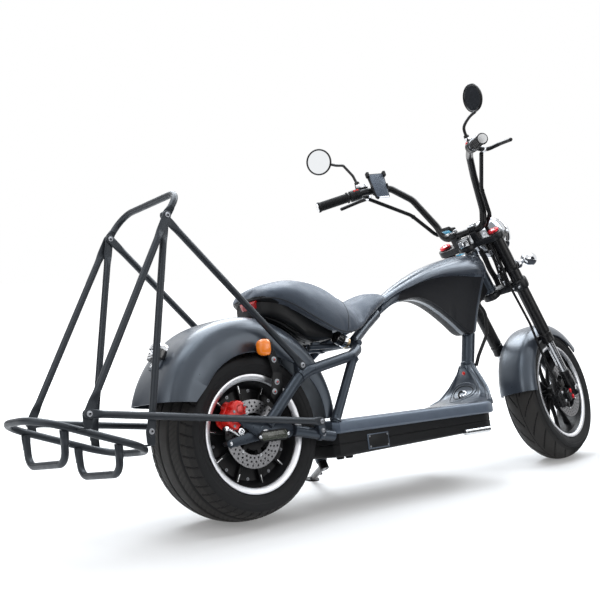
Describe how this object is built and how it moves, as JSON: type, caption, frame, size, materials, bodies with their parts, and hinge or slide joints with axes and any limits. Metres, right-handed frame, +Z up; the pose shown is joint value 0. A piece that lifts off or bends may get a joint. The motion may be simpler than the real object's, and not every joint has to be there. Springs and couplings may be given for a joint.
{
  "type": "electric golf scooter",
  "caption": "Low electric scooter with fat tyres, a long padded seat, raised handlebar and a bolted tube rack behind the seat for carrying a golf bag, leaning on its side stand.",
  "frame": {"origin": "middle of the parked object's box at road level", "axes": "+X towards the front wheel, +Y to the rider's left, +Z up from the road"},
  "size_m": [2.3561, 0.7672, 1.3215],
  "materials": {
    "frame_paint": "satin black paint",
    "rack_paint": "matte black powder coat",
    "body_shell": "satin charcoal cover",
    "footboard_moulding": "matte charcoal moulding",
    "fender_paint": "satin charcoal paint",
    "battery_case": "matte black case with cells inside",
    "seat_leather": "soft charcoal leather",
    "black_plastic": "matte black plastic",
    "bright_steel": "plated steel",
    "fork_black": "satin black paint",
    "yoke_alloy": "black anodised alloy",
    "slider_steel": "polished fork slider",
    "wheel_alloy": "black alloy with polished lips",
    "brake_disc": "ground brake disc",
    "tyre_rubber": "matte black rubber",
    "grip_rubber": "matte black rubber",
    "red_caliper": "red paint",
    "tail_lens": "red lens",
    "amber_lens": "amber lens",
    "lamp_shell": "bright plated shell",
    "smoked_lens": "smoked lens"
  },
  "bodies": {
    "frame": {"head_tube": "frame_paint", "backbone": "body_shell", "down_tube": "frame_paint", "frame_loops": "frame_paint", "seat_tubes": "frame_paint", "lower_stays": "frame_paint", "axle_plates": "frame_paint", "rear_axle": "bright_steel", "seat_pad": "seat_leather", "seat_pan": "black_plastic", "tail_lamp": "tail_lens", "seat_arms": "frame_paint", "seat_shocks": "bright_steel", "footboard": "footboard_moulding", "nose_cover": "body_shell", "battery_box": "battery_case", "side_rails": "bright_steel", "rear_fender": "fender_paint", "fender_brackets": "frame_paint", "rear_signals": "amber_lens", "plate_lamp": "lamp_shell", "rear_caliper": "red_caliper", "side_reflectors": "smoked_lens", "rack_ring": "rack_paint", "rack_loops": "rack_paint", "rack_ears": "rack_paint", "rack_top_bar": "rack_paint", "rack_rear_legs": "rack_paint", "rack_front_legs": "rack_paint", "rack_upper_struts": "rack_paint", "rack_lower_struts": "rack_paint", "rack_clamps": "frame_paint", "harness": "grip_rubber", "stand_bracket": "frame_paint"},
    "rear_wheel": {"rear_tyre": "tyre_rubber", "rear_wheel_hub": "wheel_alloy", "rear_disc": "brake_disc"},
    "steering": {"yokes": "yoke_alloy", "fork_tubes": "fork_black", "fork_sliders": "slider_steel", "fork_lowers": "fork_black", "front_axle": "bright_steel", "front_fender": "fender_paint", "front_caliper": "yoke_alloy", "handlebar": "fork_black", "grips": "grip_rubber", "bar_controls": "black_plastic", "brake_levers": "yoke_alloy", "mirrors": "fork_black", "phone_holder": "black_plastic", "headlamp": "lamp_shell", "front_signals": "lamp_shell", "instruments": "black_plastic", "control_cables": "grip_rubber"},
    "front_wheel": {"front_tyre": "tyre_rubber", "front_wheel_rim": "wheel_alloy", "front_disc": "brake_disc"},
    "side_stand": {"side_stand": "fork_black"}
  },
  "joints": [
    {"name": "rear_wheel_spin", "type": "hinge", "parent": "frame", "child": "rear_wheel", "pos_m": [-0.52168, -0.15776, 0.23871], "axis": [-0.0007, 0.9816, -0.1908], "continuous": true},
    {"name": "steering", "type": "hinge", "parent": "frame", "child": "steering", "pos_m": [0.90328, -0.1606, 0.21909], "axis": [-0.4818, 0.1669, 0.8602], "range_deg": [-42, 18]},
    {"name": "front_wheel_spin", "type": "hinge", "parent": "steering", "child": "front_wheel", "pos_m": [0.93756, -0.14882, 0.236], "axis": [-0.1828, 0.9409, -0.2849], "continuous": true},
    {"name": "side_stand_fold", "type": "hinge", "parent": "frame", "child": "side_stand", "pos_m": [-0.12215, -0.07397, 0.10234], "axis": [0.0439, 0.5749, 0.8171], "range_deg": [0, 110]}
  ]
}
